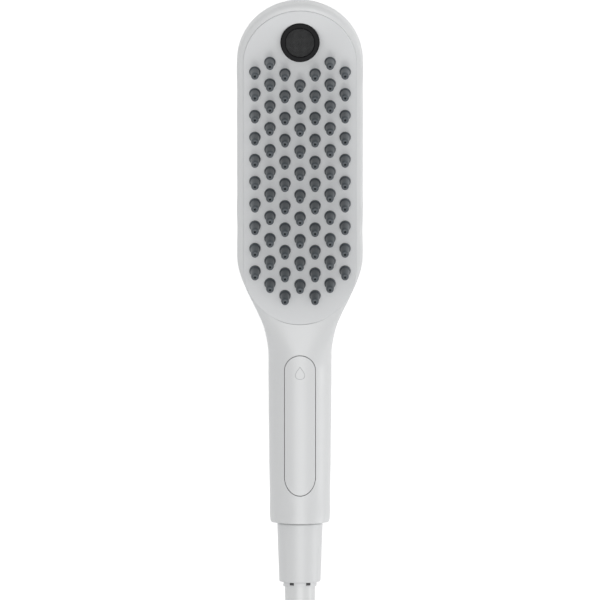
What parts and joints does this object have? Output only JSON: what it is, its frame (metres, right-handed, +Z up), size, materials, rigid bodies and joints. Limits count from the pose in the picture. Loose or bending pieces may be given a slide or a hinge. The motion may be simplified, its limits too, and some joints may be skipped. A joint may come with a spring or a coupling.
{
  "type": "handheld bath sprayer",
  "caption": "White handheld bath sprayer with soft nubs on a long spray head, a jet nozzle, a thumb button on the handle and a swivelling hose laid in a coil.",
  "frame": {"origin": "bottom centre of the handset as it lies on its back, without the hose and its fittings", "axes": "+X across the handset, +Y along it from the handle to the spray head, +Z up, out of the spray face"},
  "size_m": [0.1888, 0.5485, 0.0572],
  "materials": {
    "white_shell": "satin moulded plastic, fine grain",
    "white_face": "satin moulded plastic",
    "white_button": "satin moulded plastic",
    "white_fitting": "satin moulded plastic",
    "grey_silicone": "matt dark grey silicone",
    "black_plastic": "satin black plastic",
    "black_mesh": "fine black mesh",
    "inner_plastic": "plain moulded plastic",
    "black_rubber": "matt rubber",
    "ceramic": "ground ceramic",
    "steel": "stainless steel",
    "brass": "turned brass",
    "white_hose": "smooth satin hose"
  },
  "bodies": {
    "hose": {"hose_run": "white_hose", "hose_coil": "white_hose", "hose_end_run": "white_hose", "swivel_tail": "brass", "hose_ferrule": "steel", "swivel_ring": "white_fitting", "end_tail": "brass", "end_ferrule": "steel", "end_collar": "white_fitting"},
    "handset": {"housing": "white_shell", "face_plate": "white_face", "nub_mat": "grey_silicone", "chamber_tray": "inner_plastic", "chamber_screws": "steel", "jet_ring": "black_plastic", "jet_mesh": "black_mesh", "jet_straightener": "inner_plastic", "jet_oring": "black_rubber", "button_pin": "steel", "valve_body": "inner_plastic", "valve_cap": "inner_plastic", "port_disc": "ceramic", "plunger_spring": "steel", "plunger_oring": "black_rubber", "inlet_duct": "inner_plastic", "outlet_gasket": "black_rubber", "manifold_duct": "inner_plastic", "jet_duct": "inner_plastic", "inlet_nipple": "inner_plastic", "inlet_oring": "black_rubber", "inlet_washer": "black_rubber", "cone_nut": "white_fitting"},
    "mode_button": {"mode_button": "white_button"},
    "plunger": {"plunger": "inner_plastic"},
    "selector": {"selector_disc": "ceramic", "index_rotor": "inner_plastic"},
    "end_nut": {"end_nut": "white_fitting", "end_washer": "black_rubber"}
  },
  "joints": [
    {"name": "hose_swivel", "type": "hinge", "parent": "hose", "child": "handset", "pos_m": [0, -0.14118, 0.02849], "axis": [0, 0.9954, -0.0958], "continuous": true},
    {"name": "button_press", "type": "hinge", "parent": "handset", "child": "mode_button", "pos_m": [0, -0.10299, 0.03285], "axis": [-1, 0, 0], "range_deg": [0, 1.98], "stiffness_Nm_per_rad": 4, "springref_deg": -2.86},
    {"name": "plunger_slide", "type": "slide", "parent": "handset", "child": "plunger", "axis": [0, -0.0958, -0.9954], "range_m": [0, 0.00202], "deforming": ["plunger_spring"]},
    {"name": "selector_turn", "type": "hinge", "parent": "handset", "child": "selector", "pos_m": [0, -0.04602, 0.01933], "axis": [0, -0.0958, -0.9954], "continuous": true},
    {"name": "end_nut_spin", "type": "hinge", "parent": "hose", "child": "end_nut", "pos_m": [-0.14215, -0.21321, 0.01306], "axis": [-0.0346, 0.9992, 0.0192], "continuous": true}
  ],
  "couplings": [
    {"joint": "plunger_slide", "follows": "button_press", "m_per_rad": 0.058}
  ]
}
